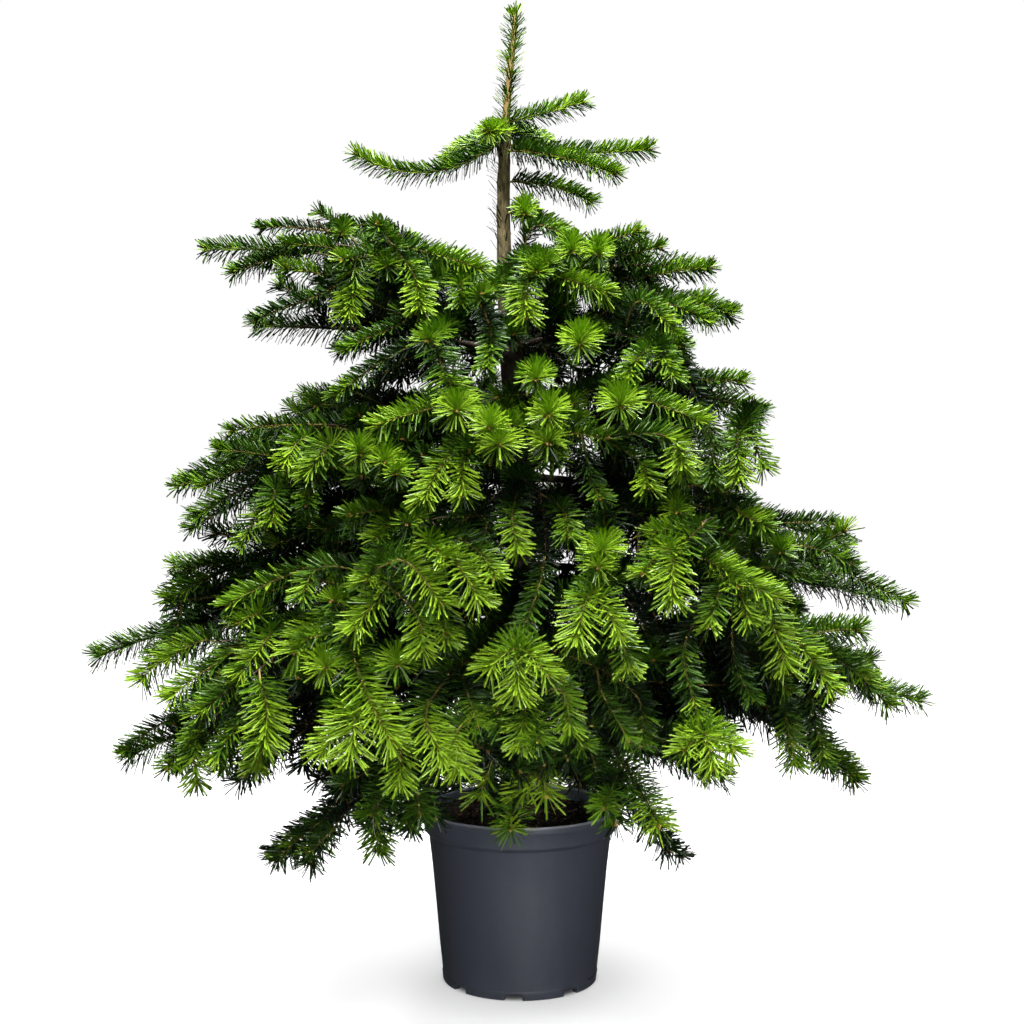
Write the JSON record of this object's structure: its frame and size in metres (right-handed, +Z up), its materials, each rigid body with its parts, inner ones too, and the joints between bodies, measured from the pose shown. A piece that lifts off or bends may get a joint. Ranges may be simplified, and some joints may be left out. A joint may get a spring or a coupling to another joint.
{
  "type": "potted nordmann fir",
  "caption": "Young potted Nordmann fir: a round tapered nursery pot, a straight trunk with a leader, and tiers of spreading boughs with flat dark needles and fresh yellow-green shoot ends.",
  "frame": {"origin": "centre of the pot's flat underside, on the ground", "axes": "+Z up along the trunk; -Y is the front, the side that the picture shows; +X to the viewer's right"},
  "size_m": [1.0433, 0.9096, 1.219],
  "materials": {
    "pot_plastic": "moulded, matt charcoal",
    "compost": "moist bark and peat crumbs",
    "bark": "thin young bark",
    "needles": "waxy needles of earlier years",
    "fresh_needles": "fresh needles at the shoot ends"
  },
  "bodies": {
    "root": {"compost": "compost", "leader_needles": "fresh_needles", "pot": "pot_plastic", "trunk": "bark", "whorl1_a_needles": "fresh_needles", "whorl1_b_needles": "fresh_needles", "whorl1_c_needles": "fresh_needles", "whorl1_d_needles": "fresh_needles", "whorl1_e_needles": "fresh_needles", "whorl1_f_needles": "fresh_needles", "whorl1_g_needles": "fresh_needles", "whorl1_h_needles": "fresh_needles", "whorl1_i_needles": "fresh_needles", "whorl2_a_needles": "fresh_needles", "whorl2_b_needles": "fresh_needles", "whorl2_c_needles": "fresh_needles", "whorl2_d_needles": "fresh_needles", "whorl2_e_needles": "fresh_needles", "whorl2_f_needles": "fresh_needles", "whorl3_a_needles": "needles", "whorl3_b_needles": "needles", "whorl3_c_needles": "needles", "whorl3_d_needles": "needles", "whorl3_e_needles": "needles", "whorl3_f_needles": "needles", "whorl4_a_needles": "needles", "whorl4_b_needles": "needles", "whorl4_c_needles": "needles", "whorl4_d_needles": "needles", "whorl4_e_needles": "needles", "whorl4_f_needles": "needles", "whorl5_a_needles": "needles", "whorl5_b_needles": "needles", "whorl5_c_needles": "needles", "whorl5_d_needles": "needles", "whorl5_e_needles": "needles", "whorl5_f_needles": "needles", "whorl6_a_bough": "bark", "whorl6_a_needles": "needles", "whorl6_b_bough": "bark", "whorl6_b_needles": "needles", "whorl6_c_needles": "needles", "whorl6_d_bough": "bark", "whorl6_d_needles": "needles", "whorl6_e_bough": "bark", "whorl6_e_needles": "needles", "whorl6_f_bough": "bark", "whorl6_f_needles": "needles", "whorl7_a_needles": "needles", "whorl7_b_needles": "needles", "whorl7_c_needles": "needles", "whorl7_d_needles": "needles", "whorl7_e_needles": "needles", "whorl7_f_needles": "needles", "whorl7_g_needles": "needles", "whorl8_a_needles": "needles", "whorl8_b_needles": "needles", "whorl8_c_needles": "needles", "whorl8_d_needles": "needles", "whorl8_e_needles": "needles"}
  },
  "joints": []
}
